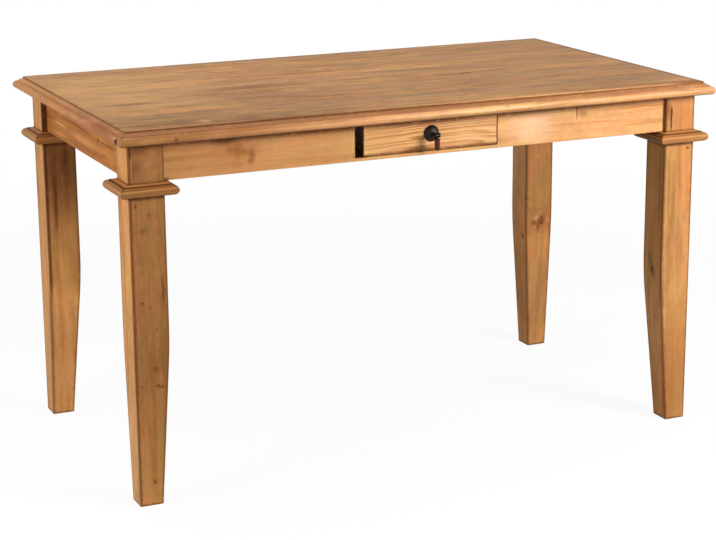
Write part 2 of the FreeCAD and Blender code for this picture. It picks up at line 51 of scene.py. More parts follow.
class Tone:
    """One value, colour or vector over a surface: a socket in the node tree of its finish."""

    def __init__(self, tree, socket):
        self.tree = tree
        self.socket = socket

    def node(self, kind, settings, sockets, out=0):
        """One more node: its settings are made first, then its sockets take values or links."""
        made = self.tree.nodes.new("ShaderNode" + kind)
        for word, value in settings.items():
            setattr(made, word, value)
        for socket in made.inputs:
            given = sockets.get(socket.identifier)
            if isinstance(given, Tone):
                self.tree.links.new(given.socket, socket)
            elif given is not None:
                socket.default_value = given
        return Tone(self.tree, made.outputs[out])

    def maths(self, operation, first, second=None):
        return self.node("Math", {"operation": operation}, {"Value": first, "Value_001": second})

    def __add__(self, other):
        return self.maths("ADD", self, other)

    def __sub__(self, other):
        return self.maths("SUBTRACT", self, other)

    def __mul__(self, other):
        return self.maths("MULTIPLY", self, other)

    def __truediv__(self, other):
        return self.maths("DIVIDE", self, other)

    def __rsub__(self, other):
        return self.maths("SUBTRACT", other, self)

    def __rtruediv__(self, other):
        return self.maths("DIVIDE", other, self)

    def __abs__(self):
        return self.maths("ABSOLUTE", self)

    __radd__ = __add__
    __rmul__ = __mul__

    def least(self, other):
        return self.maths("MINIMUM", self, other)

    def most(self, other):
        return self.maths("MAXIMUM", self, other)

    def rise(self, start, end):
        """0 before start and 1 after end, with a soft change between; it falls where end comes first."""
        ends = {"From Min": start, "From Max": end}
        return self.node("MapRange", {"interpolation_type": "SMOOTHSTEP"}, {"Value": self, **ends})

    def vector(self, operation, second=None):
        return self.node("VectorMath", {"operation": operation}, {"Vector": self, "Vector_001": second})

    def split(self):
        outputs = self.node("SeparateXYZ", {}, {"Vector": self}).socket.node.outputs
        return [Tone(self.tree, socket) for socket in outputs]

    def length(self):
        return self.node("VectorMath", {"operation": "LENGTH"}, {"Vector": self}, 1)

    def scaled(self, amount):
        return self.node("VectorMath", {"operation": "SCALE"}, {"Vector": self, "Scale": amount})

    def mixed(self, first, second, amount):
        sockets = {"Factor_Float": amount, "A_Color": first, "B_Color": second}
        return self.node("Mix", {"data_type": "RGBA"}, sockets, 2)

    def painted(self, colour, amount):
        return self.mixed(self, colour, amount)

    def cloud(self, stretch, seed, detail=2.0, out=0):
        """Soft noise, stretched by a factor each way; out 1 gives three values at once."""
        sockets = {"Vector": self.vector("MULTIPLY", stretch), "W": seed, "Scale": 1.0, "Detail": detail}
        return self.node("TexNoise", {"noise_dimensions": "4D"}, sockets, out)

    def spot(self, centre, radii):
        """How far a point is from the middle of an egg shape: 0 there, and 1 on its skin."""
        sockets = {"Vector": self, "Location": centre, "Scale": radii}
        return self.node("Mapping", {"vector_type": "TEXTURE"}, sockets).length()

    def feeds(self, shader, socket):
        self.tree.links.new(self.socket, shader.inputs[socket])


def stain(red, green, blue):
    """A colour from its three values of 0 to 255 on screen."""
    shares = [value / 255.0 for value in (red, green, blue)]
    return tuple(s / 12.92 if s <= 0.04045 else ((s + 0.055) / 1.055) ** 2.4 for s in shares) + (1.0,)


WAX = stain(88, 42, 14)
REDDISH = stain(128, 62, 26)
KNOT_HEART = stain(104, 54, 22)
KNOT_BARK = stain(60, 28, 10)
RUDDY = (1.05, 0.97, 0.98, 1.0)
GOLDEN = (0.97, 1.03, 0.97, 1.0)
FIBRE_DEPTH, RING_DEPTH = 0.00010, 0.00007
CRACK_DEPTH, JOINT_DEPTH, NICK_DEPTH = 0.0003, 0.0004, 0.0002
WANDER, TREMBLE, EDGE_SOFT = 0.007, 0.002, 0.006


def new_finish(name):
    """An empty finish: its material, its shader, and the place of each point on the piece."""
    finish = bpy.data.materials.new(name)
    finish.use_nodes = True
    tree = finish.node_tree
    place = Tone(tree, tree.nodes.new("ShaderNodeTexCoord").outputs["Object"])
    return finish, tree.nodes["Principled BSDF"], place


def dress(piece, finish):
    """Gives a piece of the frame its finish."""
    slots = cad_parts[piece].data.materials
    slots.clear()
    slots.append(finish)


def shaded(colour, amount):
    """The same colour, lighter or darker by a factor."""
    return tuple(value * amount for value in colour[:3]) + (1.0,)


def pine(piece, grain, heart, pale, amber, seed, ring=0.0045, figure=0.25, sway=0.014, mottle=0.5,
         streaks=0.6, run=2.6, narrow=75.0, flecks=0.35, glints=0.3, knots=(), smudges_and_painted_light=(), lines=(),
         mitre=None, polish=0.52, sheen=0.12, edge=0.3, edge_tint=None, edge_width=0.0085,
         taper=None):
    """Waxed pine for one piece, with growth rings round a heart line that runs along the grain.
    Knots have a middle and radii; smudges and lines have a tint and an amount as well, and some of them
    are painted highlights or painted shade rather than stains. A mitre has the middle of its frame, how
    far the joint lies off the diagonal, and an amount. The arrises are paler, or take the edge tint, and
    taper says which way the straight faces of a leg look."""
    finish, shader, place = new_finish("pine_" + piece)
    turn = {"Vector": place, "Location": heart, "Rotation": GRAIN_TURNS[grain]}
    wood = place.node("Mapping", {"vector_type": "TEXTURE"}, turn)
    half_way = (0.5, 0.5, 0.5)

    # the wood's lines wander a little, and bend round each knot
    slow = wood.cloud((1.4, 5.0, 5.0), seed, 1.0, 1).vector("SUBTRACT", half_way)
    quick = wood.cloud((9.0, 22.0, 22.0), seed + 1.0, 1.0, 1).vector("SUBTRACT", half_way)
    bent = wood.vector("ADD", slow.vector("MULTIPLY", (0.0, 2.0 * sway, 2.0 * sway)))
    bent = bent.vector("ADD", quick.vector("MULTIPLY", (0.0, 0.5 * sway, 0.5 * sway)))
    radius = bent.vector("MULTIPLY", (0.0, 1.0, 1.0)).length()
    shiver = place.cloud((90.0, 90.0, 90.0), seed + 2.0, 4.0, 1).vector("SUBTRACT", half_way)
    loose = place.vector("ADD", shiver.scaled(WANDER))
    steady = place.vector("ADD", shiver.scaled(TREMBLE))
    knot_fields = []
    for centre, radii in knots:
        ragged = place.vector("ADD", shiver.scaled(1.6 * min(radii)))
        knot_fields.append((ragged.spot(centre, radii), min(radii)))
    for field, size in knot_fields:
        radius = radius + field.rise(3.4, 0.6) * (2.6 * size)

    # rings, fibres and streaks along the grain, then patches of dirt and wear
    uneven = wood.cloud((1.2, 55.0, 55.0), seed + 3.0, 1.0)
    turns = radius / ring + uneven * 3.0
    share = turns.maths("FRACT", turns)
    late = share.rise(0.25, 0.86) * share.rise(1.0, 0.92)
    fibre = wood.cloud((7.0, 420.0, 420.0), seed + 4.0, 3.0)
    fleck = wood.cloud((45.0, 300.0, 300.0), seed + 10.0, 2.0)
    drawn = bent.cloud((3.0, 16.0, 16.0), seed + 11.0, 1.0).rise(0.35, 0.68)
    streak = bent.cloud((run, narrow, narrow), seed + 5.0, 3.0)
    glint = bent.cloud((run * 1.4, narrow * 1.5, narrow * 1.5), seed + 12.0, 2.0)
    broad = wood.cloud((2.2, 9.0, 9.0), seed + 6.0, 1.0)
    blotch = wood.cloud((13.0, 42.0, 42.0), seed + 7.0, 3.0)
    patch = wood.cloud((7.0, 24.0, 24.0), seed + 13.0, 2.0)
    rubbed = place.cloud((60.0, 60.0, 60.0), seed + 8.0, 3.0)
    nick = place.cloud((46.0, 46.0, 46.0), seed + 9.0, 4.0)

    # the bare wood
    colour = place.mixed(pale, amber, late * figure * (drawn * 0.9 + 0.35))
    colour = colour.painted(amber, streak.rise(0.46, 0.68) * streaks)
    colour = colour.painted(shaded(pale, 1.25), glint.rise(0.54, 0.74) * glints)
    colour = colour.painted(WAX, fleck.rise(0.58, 0.74) * flecks)
    colour = colour.vector("MULTIPLY", place.mixed(RUDDY, GOLDEN, patch.rise(0.36, 0.64)))
    grime = broad * 0.9 + blotch + fleck * 0.5 + rubbed * 0.4 - 1.4
    colour = colour.scaled(0.89 + fibre * 0.22 + grime * mottle)
    height = fibre * FIBRE_DEPTH - late * RING_DEPTH

    # soft smudges, some of them painted light or shade, then edges, sharp lines with some painted shade,
    # and knots
    cloudy = blotch.rise(0.30, 0.60) * 0.55 + 0.45
    for centre, radii, tint, amount in smudges_and_painted_light:
        colour = colour.painted(tint, loose.spot(centre, radii).rise(1.0, 0.15) * cloudy * amount)
    if edge:
        low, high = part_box(piece)
        half = (high - low) / 2
        parts = place.vector("SUBTRACT", tuple(low + half)).split()
        sides = [half[way] - abs(part) for way, part in enumerate(parts)]
        if taper:
            sawn = ((TAPER_HIGH - half.z - parts[2]) * TAPER_RATE).most(0.0)
            sides[:2] = [half[way] - sawn - abs(parts[way] - sawn * taper[way]) for way in (0, 1)]
        arris = sides[0].least(sides[1]).most(sides[0].most(sides[1]).least(sides[2]))
        worn = (arris + rubbed * EDGE_SOFT).rise(edge_width, edge_width - EDGE_SOFT)
        colour = colour.painted(edge_tint or shaded(pale, 1.15), worn * edge)
    for centre, radii, tint, amount in lines:
        gap = steady.spot(centre, radii).rise(1.0, 0.4)
        colour = colour.painted(tint, gap * (rubbed.rise(0.25, 0.55) * 0.4 + 0.6) * amount)
        height = height - gap * CRACK_DEPTH
    for field, size in knot_fields:
        colour = colour.painted(amber, field.rise(2.6, 1.0) * 0.6)
        patchy = rubbed.rise(0.35, 0.65) * 0.6 + 0.2
        colour = colour.painted(KNOT_HEART, field.rise(1.15, 0.80) * patchy)
        rim = field.rise(0.70, 0.96) * field.rise(1.25, 1.0)
        colour = colour.painted(KNOT_BARK, rim * (rubbed.rise(0.42, 0.60) * 0.75 + 0.1))
        height = height - rim * CRACK_DEPTH

    # the open joint of a mitre, and nicks all over
    if mitre:
        spread = loose.vector("SUBTRACT", (mitre[0], mitre[1], 0.0)).vector("ABSOLUTE").split()
        apart = spread[0] - spread[1] - mitre[2]
        joint = abs(apart).rise(0.0026, 0.0006)
        colour = colour.painted(WAX, joint * (rubbed.rise(0.30, 0.60) * 0.8 + 0.2) * mitre[3])
        height = height - joint * JOINT_DEPTH
    nicked = nick.rise(0.64, 0.80)
    colour = colour.painted(WAX, nicked * 0.45)
    height = height - nicked * NICK_DEPTH
    bump = height.node("Bump", {}, {"Height": height, "Strength": 1.0, "Distance": 1.0})
    shader.inputs["Specular IOR Level"].default_value = sheen
    colour.feeds(shader, "Base Color")
    (polish + (fibre - late * 0.6) * 0.14).feeds(shader, "Roughness")
    bump.feeds(shader, "Normal")
    dress(piece, finish)


LEG_PALE = stain(188, 133, 76)
LEG_AMBER = stain(149, 91, 43)
LEG_DARK = stain(92, 48, 18)
UMBER = stain(72, 34, 12)
PURPLE_BROWN = stain(116, 68, 42)
APRON_LOW, APRON_TOP = 0.686, 0.7705
COLLAR_LOW = 0.6605
TAPER_HIGH = 0.345
TAPER_RATE = 0.0362
FRONT_FACE, BACK_FACE = -0.3545, 0.2785
INNER_FACE, OUTER_FACE = 0.597, -0.663
LEG_MID = 0.3165
LEG_ROUND, ALL_ROUND = 0.2, 0.3
THROUGH = 0.02

LEG_KNOTS = {
    "front_left": [((-0.643, FRONT_FACE, 0.438), (0.0026, THROUGH, 0.0022)),
                   ((-0.627, FRONT_FACE, 0.426), (0.0030, THROUGH, 0.0024)),
                   ((-0.651, FRONT_FACE, 0.261), (0.0026, THROUGH, 0.0026)),
                   ((-0.607, FRONT_FACE, 0.256), (0.0050, THROUGH, 0.0026)),
                   ((-0.630, FRONT_FACE, 0.051), (0.0030, THROUGH, 0.0034)),
                   ((-0.6591, FRONT_FACE, 0.4058), (0.0026, THROUGH, 0.0050)),
                   ((-0.6161, FRONT_FACE, 0.2601), (0.0034, THROUGH, 0.0024))],
    "front_right": [((INNER_FACE, -0.3170, 0.3575), (THROUGH, 0.0045, 0.0080)),
                    ((0.6574, FRONT_FACE, 0.6452), (0.0030, THROUGH, 0.0022))],
    "back_left": [],
    "back_right": [((0.6420, BACK_FACE, 0.342), (0.0080, THROUGH, 0.0095)),
                   ((0.598, 0.2800, 0.405), (0.004, 0.004, 0.005)),
                   ((INNER_FACE, 0.3000, 0.302), (THROUGH, 0.004, 0.005))],
}
LEG_SMUDGES_AND_PAINTED_LIGHT = {
    "front_left": [((-0.640, FRONT_FACE, 0.755), (0.030, THROUGH, 0.020), PURPLE_BROWN, 0.6),
                   ((-0.645, FRONT_FACE, 0.715), (0.016, THROUGH, 0.030), PURPLE_BROWN, 0.6),
                   ((-0.605, FRONT_FACE, 0.725), (0.030, THROUGH, 0.040), stain(196, 128, 84), 0.5),
                   ((-0.636, FRONT_FACE, 0.588), (0.012, THROUGH, 0.010), LEG_DARK, 0.8),
                   ((-0.622, FRONT_FACE, 0.618), (0.008, THROUGH, 0.012), LEG_DARK, 0.6),
                   ((-0.619, FRONT_FACE, 0.296), (0.010, THROUGH, 0.010), LEG_DARK, 0.6),
                   ((-0.598, FRONT_FACE, 0.457), (0.006, THROUGH, 0.060), UMBER, 0.7),
                   ((-0.650, FRONT_FACE, 0.640), (0.005, THROUGH, 0.009), UMBER, 0.8),
                   # painted light: this leg's outer side is painted paler, high and low
                   ((OUTER_FACE, -LEG_MID, 0.730), (0.006, 0.050, 0.050), stain(210, 148, 80), 0.5),
                   ((OUTER_FACE, -LEG_MID, 0.120), (0.006, 0.080, 0.250), stain(206, 158, 106), 0.5)],
    "front_right": [((0.6030, FRONT_FACE, 0.735), (0.014, THROUGH, 0.030), PURPLE_BROWN, 0.8),
                    ((0.6560, FRONT_FACE, 0.712), (0.022, THROUGH, 0.040), stain(186, 108, 56), 0.6),
                    ((0.6300, FRONT_FACE, 0.735), (0.050, THROUGH, 0.050), stain(176, 108, 66), 0.5),
                    ((INNER_FACE, -0.312, 0.385), (THROUGH, 0.012, 0.045), LEG_DARK, 0.3),
                    ((INNER_FACE, -0.3045, 0.390), (THROUGH, 0.012, 0.022), stain(84, 58, 18), 0.9),
                    ((INNER_FACE, -0.3095, 0.375), (THROUGH, 0.014, 0.024), stain(74, 52, 12), 1.0),
                    ((INNER_FACE, -LEG_MID, 0.3605), (THROUGH, 0.014, 0.020), stain(54, 34, 8), 1.0),
                    ((INNER_FACE, -0.3245, 0.349), (THROUGH, 0.012, 0.016), stain(72, 44, 14), 0.95),
                    ((INNER_FACE, -0.310, 0.412), (THROUGH, 0.016, 0.022), stain(150, 86, 60), 0.6),
                    ((INNER_FACE, -0.3310, 0.328), (THROUGH, 0.012, 0.016), stain(156, 88, 60), 0.6),
                    ((0.6350, FRONT_FACE, 0.420), (0.060, THROUGH, 0.180), stain(216, 164, 112), 0.12),
                    ((0.6350, FRONT_FACE, 0.120), (0.080, THROUGH, 0.220), stain(152, 98, 52), 0.8),
                    # painted light: this leg's inner side is painted paler low down
                    ((INNER_FACE, -LEG_MID, 0.200), (0.030, 0.09, 0.42), stain(206, 152, 98), 0.5)],
    # painted shade: the top of this leg's front, under the table, is painted dark
    "back_left": [((-0.625, BACK_FACE, 0.600), (0.080, THROUGH, 0.190), stain(92, 42, 8), 0.5),
                  ((-0.640, BACK_FACE, 0.520), (0.008, THROUGH, 0.130), UMBER, 0.8),
                  ((-0.612, BACK_FACE, 0.625), (0.010, THROUGH, 0.040), UMBER, 0.7),
                  ((-0.630, 0.3000, 0.160), (0.080, 0.05, 0.220), stain(158, 112, 74), 0.4),
                  # painted light: this leg's outer side is painted paler
                  ((OUTER_FACE, LEG_MID, 0.300), (0.006, 0.070, 0.500), stain(214, 160, 98), 0.3)],
    "back_right": [((0.6220, BACK_FACE, 0.338), (0.018, THROUGH, 0.009), REDDISH, 0.8),
                   ((0.6280, BACK_FACE, 0.350), (0.012, THROUGH, 0.010), stain(236, 172, 124), 0.9),
                   ((0.6590, BACK_FACE, 0.344), (0.011, THROUGH, 0.013), stain(232, 162, 114), 0.9),
                   ((0.6480, BACK_FACE, 0.351), (0.013, THROUGH, 0.012), REDDISH, 0.95),
                   ((0.6350, BACK_FACE, 0.328), (0.011, THROUGH, 0.018), REDDISH, 0.95),
                   ((0.6400, 0.3000, 0.160), (0.080, 0.05, 0.220), stain(158, 112, 74), 0.45),
                   # painted light: this leg's inner side is painted paler
                   ((INNER_FACE, LEG_MID, 0.560), (0.006, 0.09, 0.30), stain(214, 162, 108), 0.7)],
}
LEG_LINES = {
    "front_left": [((-0.6600, FRONT_FACE, 0.330), (0.0034, 0.006, 0.70), LEG_DARK, 0.25),
                   ((-0.6580, FRONT_FACE, 0.748), (0.0030, 0.012, 0.020), UMBER, 0.9),
                   ((-0.6525, FRONT_FACE, 0.715), (0.0014, 0.006, 0.050), UMBER, 0.55),
                   ((-0.5870, FRONT_FACE, 0.725), (0.0028, 0.012, 0.060), REDDISH, 0.8),
                   ((-0.6430, FRONT_FACE, 0.438), (0.0036, THROUGH, 0.0026), UMBER, 0.8),
                   ((-0.6285, FRONT_FACE, 0.428), (0.0030, THROUGH, 0.0034), REDDISH, 0.8),
                   ((-0.6591, FRONT_FACE, 0.4058), (0.0026, THROUGH, 0.0058), UMBER, 0.85),
                   ((-0.6505, FRONT_FACE, 0.261), (0.0032, THROUGH, 0.0032), UMBER, 0.75),
                   ((-0.6070, FRONT_FACE, 0.256), (0.0050, THROUGH, 0.0030), UMBER, 0.75),
                   ((-0.6290, FRONT_FACE, 0.051), (0.0026, THROUGH, 0.0046), UMBER, 0.85)],
    "front_right": [((0.6115, FRONT_FACE, 0.7150), (0.0034, 0.012, 0.042), UMBER, 0.95),
                    ((0.6125, FRONT_FACE, 0.7300), (0.0034, 0.012, 0.012), UMBER, 0.9),
                    ((0.6060, FRONT_FACE, 0.7300), (0.0014, 0.012, 0.030), REDDISH, 0.6),
                    ((INNER_FACE, -0.3510, 0.450), (0.006, 0.0034, 0.60), LEG_DARK, 0.3),
                    # painted shade in the recess where the front apron meets this leg, with the dark joint
                    ((INNER_FACE, -0.3520, 0.728), (0.0016, 0.006, 0.085), REDDISH, 0.5),
                    # painted shade: the upper inner side of this leg, under the table, is darker
                    ((INNER_FACE, -LEG_MID, 0.600), (0.006, 0.20, 0.50), LEG_DARK, 0.10)],
    # painted shade: the upper front of this leg, under the table, is darker
    "back_left": [((-0.6250, BACK_FACE, 0.680), (0.12, 0.008, 0.23), stain(84, 36, 8), 0.36),
                  ((-0.6590, BACK_FACE, 0.450), (0.0044, 0.006, 0.50), UMBER, 0.75),
                  # painted shade in the recess between this leg's front and the end apron
                  ((-0.6550, BACK_FACE, 0.728), (0.0180, 0.008, 0.110), UMBER, 0.85)],
    "back_right": [],
}
LEG_HEARTS = {"front_left": (-0.700, -0.250, 0.0), "front_right": (0.630, -0.280, 0.35),
              "back_left": (-0.700, 0.370, 0.0), "back_right": (0.570, 0.360, 0.0)}
LEG_SHADES = {"front_left": 0.98, "front_right": 0.94, "back_left": 1.10, "back_right": 0.97}
# painted shade: the front face of each leg is painted darker by this amount
LEG_FRONT_SHADE = {"front_left": (FRONT_FACE, 0.48), "front_right": (FRONT_FACE, 0.0),
              "back_left": (BACK_FACE, 0.37), "back_right": (BACK_FACE, 0.45)}
# dirt along the legs' arrises, which round the foot is also painted shade where the leg meets the floor
ARRIS_DIRT_AND_FOOT_SHADE = stain(98, 56, 22)

for number, (leg, heart) in enumerate(LEG_HEARTS.items(), 1):
    piece = "leg_" + leg
    low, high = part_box(piece)
    mid_x, mid_y = (low.x + high.x) / 2, (low.y + high.y) / 2
    front, dark = LEG_FRONT_SHADE[leg]
    # painted shade on the front face, and under the top's moulding and the collar, with a dark joint line
    # at the collar's top
    shade_and_joint_bands = [((mid_x, front, 0.60), (ALL_ROUND, 0.005, 0.70), LEG_DARK, dark),
             ((mid_x, mid_y, APRON_TOP), (LEG_ROUND, LEG_ROUND, 0.018), UMBER, 0.8),
             ((mid_x, mid_y, APRON_LOW), (LEG_ROUND, LEG_ROUND, 0.004), WAX, 0.45),
             ((mid_x, mid_y, COLLAR_LOW), (LEG_ROUND, LEG_ROUND, 0.012), UMBER, 0.8)]
    pale, amber = [shaded(colour, LEG_SHADES[leg]) for colour in (LEG_PALE, LEG_AMBER)]
    outward = (1.0 if "right" in leg else -1.0, 1.0 if "back" in leg else -1.0)
    pine(piece, "z", heart, pale, amber, seed=number * 13.0, figure=0.15, streaks=0.6, narrow=62.0,
         mottle=0.7, knots=LEG_KNOTS[leg], smudges_and_painted_light=LEG_SMUDGES_AND_PAINTED_LIGHT[leg], lines=shade_and_joint_bands + LEG_LINES[leg],
         edge=0.65, edge_tint=ARRIS_DIRT_AND_FOOT_SHADE, edge_width=0.0108, taper=outward)

# The collars: a moulded strip mitred round each leg under the aprons, four strips to a leg.
# They are pine, glued and pinned to the leg's faces, with dark wax left in the quirk and the mitres.

COLLAR_PALE = stain(177, 125, 67)
COLLAR_AMBER = stain(140, 85, 36)
COLLAR_HIGHLIGHT = stain(206, 142, 82)
COLLAR_SHADES = {"front_left": 0.68, "front_right": 0.86, "back_left": 0.92, "back_right": 0.85}
# painted shade: the left strip of each right-hand leg's collar is darker by this factor
STRIP_IN_PAINTED_SHADE = 0.6
QUIRK_OUT = 0.01295
QUIRK_HIGH = 0.6822
NOSE_LINE_OUT = 0.0210
LEG_HALF = 0.038
COLLAR_HEART_STEP, COLLAR_HEART_OUT, COLLAR_HEART_HIGH = 0.03, 0.05, 0.62
# painted highlights on the slope and the nose, a reddish line, wax in the quirk, the joint with the leg,
# and painted shade along the underside
COLLAR_MARKS = [(0.0065, 0.6846, 0.0060, 0.003, COLLAR_HIGHLIGHT, 0.8),
                (NOSE_LINE_OUT, 0.6750, 0.0050, 0.0016, COLLAR_HIGHLIGHT, 0.6),
                (NOSE_LINE_OUT, 0.6690, 0.0050, 0.0018, REDDISH, 0.4),
                (QUIRK_OUT, QUIRK_HIGH, 0.0022, 0.0035, WAX, 0.95),
                (0.0, APRON_LOW, 0.0026, 0.005, WAX, 0.7),
                (0.0, COLLAR_LOW, 0.0160, 0.008, UMBER, 0.7)]
SIDES = {"front": (0, -1), "back": (0, 1), "left": (-1, 0), "right": (1, 0)}
for number, (leg, shade) in enumerate(COLLAR_SHADES.items()):
    low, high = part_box("leg_" + leg)
    mid_x = low.x + LEG_HALF if "left" in leg else high.x - LEG_HALF
    mid_y = high.y - LEG_HALF if "back" in leg else low.y + LEG_HALF
    for turn, (side, (out_x, out_y)) in enumerate(SIDES.items()):
        # the left strip of a right-hand leg's collar takes painted shade
        strip_shade = shade * STRIP_IN_PAINTED_SHADE if side == "left" and "right" in leg else shade
        pale, amber = shaded(COLLAR_PALE, strip_shade), shaded(COLLAR_AMBER, strip_shade)
        marks = []
        for out, level, thin, tall, tint, amount in COLLAR_MARKS:
            reach = LEG_HALF + out
            radii = (ALL_ROUND, thin, tall) if out_y else (thin, ALL_ROUND, tall)
            marks.append(((mid_x + reach * out_x, mid_y + reach * out_y, level), radii, tint, amount))
        heart = (mid_x + COLLAR_HEART_STEP * number, mid_y + COLLAR_HEART_OUT * out_y, COLLAR_HEART_HIGH)
        pine(f"collar_{leg}_{side}", "x" if out_y else "y", heart, pale, amber,
             seed=100.0 + 20 * number + turn, figure=0.45, sway=0.008, streaks=0.75, narrow=110.0,
             sheen=0.14, lines=marks, mitre=(mid_x, mid_y, 0.0, 0.5))

# The aprons: four boards of pine between the legs, tenoned into them.
# The front one has the drawer's opening sawn from its top edge.

APRON_PALE = stain(204, 153, 98)
APRON_AMBER = stain(170, 111, 58)
STREAK_RED = stain(190, 110, 56)
SHADOW_BROWN = stain(98, 40, 6)
# near-black used for painted shade, in and behind the drawer's gap and in the chip
SHADE_BLACK = stain(24, 12, 7)
OPENING_LEFT = -0.164
APRON_FACE, LEFT_FACE, RIGHT_FACE = -0.3465, -0.651, 0.661
SOAK = 0.03
pine("apron_front", "x", (-0.1, -0.25, 0.66), APRON_PALE, APRON_AMBER, seed=210.0,
     figure=0.18, ring=0.006, mottle=0.65,
     smudges_and_painted_light=[((-0.420, APRON_FACE, 0.734), (0.060, SOAK, 0.026), stain(168, 104, 64), 0.6),
              ((-0.4427, APRON_FACE, 0.7366), (0.014, SOAK, 0.012), stain(112, 66, 34), 0.85),
              ((-0.4264, APRON_FACE, 0.7342), (0.015, SOAK, 0.024), stain(106, 58, 30), 0.95),
              ((-0.4125, APRON_FACE, 0.7297), (0.014, SOAK, 0.010), stain(104, 60, 28), 0.9),
              ((-0.3952, APRON_FACE, 0.7237), (0.013, SOAK, 0.020), stain(120, 58, 32), 0.95),
              ((-0.3980, APRON_FACE, 0.7093), (0.012, SOAK, 0.009), stain(120, 66, 30), 0.85),
              ((-0.4146, APRON_FACE, 0.7205), (0.014, SOAK, 0.012), stain(190, 142, 72), 0.6),
              ((-0.4304, APRON_FACE, 0.7038), (0.024, SOAK, 0.012), stain(150, 104, 64), 0.6),
              ((-0.480, APRON_FACE, 0.725), (0.240, SOAK, 0.110), APRON_AMBER, 0.65),
              ((-0.240, APRON_FACE, 0.725), (0.130, SOAK, 0.100), APRON_AMBER, 0.5),
              # pale patch, partly a painted reflection of the front lamp
              ((0.255, APRON_FACE, 0.728), (0.090, SOAK, 0.060), stain(232, 188, 148), 0.7),
              ((0.540, APRON_FACE, 0.748), (0.120, SOAK, 0.0030), STREAK_RED, 0.9),
              ((0.550, APRON_FACE, 0.709), (0.090, SOAK, 0.0030), STREAK_RED, 0.9),
              ((0.440, APRON_FACE, 0.722), (0.090, SOAK, 0.0030), STREAK_RED, 0.6),
              ((0.386, APRON_FACE, 0.745), (0.018, SOAK, 0.012), REDDISH, 0.55)],
     lines=[((0.0, APRON_FACE, APRON_TOP), (1.6, THROUGH, 0.0235), SHADOW_BROWN, 0.97),
            # painted shade: the band under the moulding runs deeper at the left
            ((-0.456, APRON_FACE, APRON_TOP), (0.050, THROUGH, 0.0300), stain(84, 48, 14), 0.8),
            ((0.371, APRON_FACE, 0.752), (0.0030, 0.01, 0.026), WAX, 0.7),
            # painted shade in the recess at the right leg, with the dark joint
            ((INNER_FACE, APRON_FACE, 0.728), (0.0014, 0.01, 0.090), WAX, 0.7),
            ((-0.587, APRON_FACE, 0.728), (0.0024, 0.01, 0.080), UMBER, 0.7),
            ((-0.581, APRON_FACE, 0.687), (0.0110, SOAK, 0.007), UMBER, 0.8),
            # painted shade: the cut end and the foot of the drawer's opening are painted near-black
            ((OPENING_LEFT, -0.3340, 0.735), (0.0030, THROUGH, 0.080), SHADE_BLACK, 0.95),
            ((-0.150, -0.3320, 0.6932), (0.0300, THROUGH, 0.004), SHADE_BLACK, 0.97)])
pine("apron_left", "y", (-0.60, 0.0, 0.72), stain(172, 108, 50), stain(132, 76, 30), seed=211.0,
     figure=0.45, ring=0.007, sway=0.03, streaks=0.85, narrow=100.0, mottle=0.75, glints=0.7, sheen=0.06,
     smudges_and_painted_light=[((LEFT_FACE, -0.013, 0.715), (THROUGH, 0.260, 0.0140), stain(200, 138, 76), 0.7),
              ((LEFT_FACE, 0.171, 0.721), (THROUGH, 0.090, 0.0045), stain(214, 154, 94), 0.8),
              ((LEFT_FACE, 0.175, 0.698), (THROUGH, 0.080, 0.0070), stain(204, 142, 84), 0.7),
              ((LEFT_FACE, -0.016, 0.739), (THROUGH, 0.100, 0.0045), stain(120, 62, 26), 0.75),
              ((LEFT_FACE, 0.073, 0.744), (THROUGH, 0.100, 0.0040), stain(124, 66, 30), 0.6),
              ((LEFT_FACE, -0.156, 0.708), (THROUGH, 0.030, 0.0035), stain(120, 62, 26), 0.7),
              ((LEFT_FACE, -0.117, 0.735), (THROUGH, 0.012, 0.008), LEG_DARK, 0.8)],
     # painted shade along the top edge, under the top's moulding
     lines=[((LEFT_FACE, 0.0, APRON_TOP), (THROUGH, 1.0, 0.010), WAX, 0.6)])
pine("apron_right", "y", (0.60, 0.1, 0.69), APRON_PALE, APRON_AMBER, seed=212.0,
     # painted shade along the top edge, under the top's moulding
     lines=[((RIGHT_FACE, 0.0, APRON_TOP), (THROUGH, 1.0, 0.010), WAX, 0.6)])
pine("apron_back", "x", (0.2, 0.25, 0.70), APRON_PALE, APRON_AMBER, seed=213.0,
     # painted shade along the top edge, under the top's moulding
     lines=[((0.0, -APRON_FACE, APRON_TOP), (1.2, THROUGH, 0.010), WAX, 0.6)])

# The rough parts out of sight: drawer bearers, guides and stops, fixing blocks and cross battens.
# They are plain sawn pine, unwaxed and gone brown, glued and screwed under the top and behind the aprons.

RAW_PALE = stain(196, 150, 100)
RAW_AMBER = stain(160, 108, 62)
ROUGH_PARTS = ["batten_left", "batten_right", "drawer_bearer_left", "drawer_bearer_right",
               "drawer_guide_left", "drawer_guide_right", "drawer_stops"]
BLOCK_PLACES = ("front_left", "front_right", "back_left", "back_right", "left_end", "right_end")
ROUGH_PARTS += ["fixing_block_" + place for place in BLOCK_PLACES]
# painted shade: the front of the left bearer, seen through the drawer's gap, is painted near-black
BEARER_PAINTED_SHADE = [((-0.150, -0.3215, 0.70), (0.04, SOAK, SOAK), SHADE_BLACK, 0.97)]
for number, piece in enumerate(ROUGH_PARTS):
    low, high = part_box(piece)
    along = "x" if high.x - low.x > high.y - low.y else "y"
    painted_gap_shade = BEARER_PAINTED_SHADE if piece == "drawer_bearer_left" else ()
    pine(piece, along, tuple(low), RAW_PALE, RAW_AMBER, seed=220.0 + 11 * number, lines=painted_gap_shade, polish=0.7)

# The screws: round steel screws, dull and rusted in patches.
# They are driven up through the battens and blocks, and hold these to the boards.

